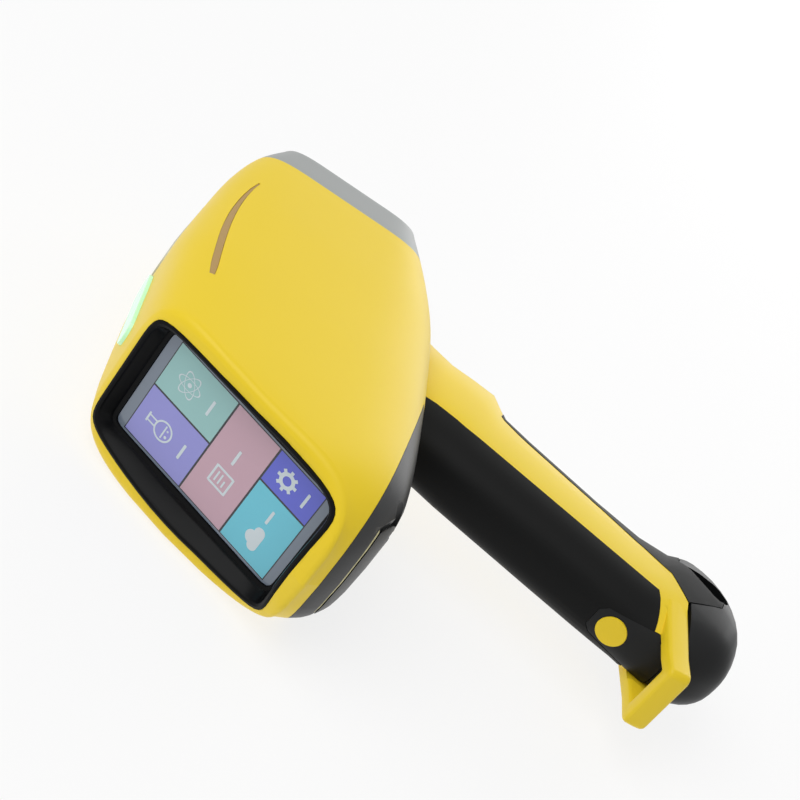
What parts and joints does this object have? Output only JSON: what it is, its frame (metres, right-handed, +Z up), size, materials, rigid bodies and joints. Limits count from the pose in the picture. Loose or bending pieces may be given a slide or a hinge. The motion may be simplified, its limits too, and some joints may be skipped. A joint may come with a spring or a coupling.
{
  "type": "handheld analyzer",
  "caption": "Pistol-grip handheld element analyzer with a tilted touch screen, boxy tapering head, rubber grip with a trigger, carrying loop and battery base.",
  "frame": {"origin": "centre of the measuring window at the front face of the nose", "axes": "+X out of the nose, towards the sample; +Z up, away from the grip; +Y to the left of someone who holds it"},
  "size_m": [0.231, 0.084, 0.3009],
  "materials": {
    "yellow_shell": "satin",
    "black_rubber": "matte",
    "dark_plastic": "satin",
    "grey_plastic": "satin",
    "nose_metal": "satin",
    "steel": "brushed",
    "window_foil": "gloss",
    "green_lens": "gloss",
    "amber_lens": "satin",
    "screen_glass": "gloss",
    "screen_unit": "satin",
    "board": "satin",
    "seal": "matte",
    "cell_wrap": "gloss",
    "aluminium": "satin",
    "brass": "satin",
    "core_plastic": "matte"
  },
  "bodies": {
    "housing": {"shell_left": "yellow_shell", "shell_right": "yellow_shell", "nose_cap": "grey_plastic", "nose_plate": "nose_metal", "window_film": "window_foil", "plate_screws": "steel", "top_plate": "grey_plastic", "status_light": "green_lens", "lamp_left": "amber_lens", "lamp_right": "amber_lens", "bezel": "dark_plastic", "screen_glass": "screen_glass", "lcd_module": "screen_unit", "display_board": "board", "belly_cover": "dark_plastic", "port_block": "steel", "door_seal": "seal", "door_pin": "steel", "rear_grip": "black_rubber", "front_grip": "black_rubber", "latch_panel": "dark_plastic", "latch_spring": "steel", "trigger_pin": "steel", "trigger_spring": "steel", "trigger_switch": "core_plastic", "grip_core": "core_plastic", "battery_contacts": "brass", "chassis": "aluminium", "snout": "aluminium", "xray_tube": "steel", "hv_supply": "core_plastic", "detector": "brass", "filter_motor": "steel", "camera": "core_plastic", "main_board": "board", "heat_sink": "aluminium", "shell_screws": "steel"},
    "trigger": {"trigger": "dark_plastic"},
    "release": {"latch_button": "yellow_shell"},
    "battery": {"battery_case": "core_plastic", "battery_cells": "cell_wrap", "base_cap": "dark_plastic"},
    "door": {"port_door": "dark_plastic"},
    "filter": {"filter_wheel": "brass"}
  },
  "joints": [
    {"name": "trigger_pull", "type": "hinge", "parent": "housing", "child": "trigger", "pos_m": [-0.05883, 0, -0.06652], "axis": [0, 1, 0], "range_deg": [0, 8], "stiffness_Nm_per_rad": 0.8, "springref_deg": -5.73, "deforming": ["trigger_spring"]},
    {"name": "release_press", "type": "slide", "parent": "housing", "child": "release", "axis": [0.9751, 0, -0.2215], "range_m": [0, 0.0015], "stiffness_N_per_m": 2000, "springref_m": -0.0005, "deforming": ["latch_spring"]},
    {"name": "battery_slide", "type": "slide", "parent": "housing", "child": "battery", "axis": [-0.2215, 0, -0.9751], "range_m": [0, 0.12]},
    {"name": "door_swing", "type": "hinge", "parent": "housing", "child": "door", "pos_m": [-0.1982, 0, -0.0799], "axis": [0, -1, 0], "range_deg": [0, 95]},
    {"name": "filter_turn", "type": "hinge", "parent": "housing", "child": "filter", "pos_m": [0, 0.012, 0], "axis": [-0.9511, 0, 0.309], "continuous": true}
  ]
}
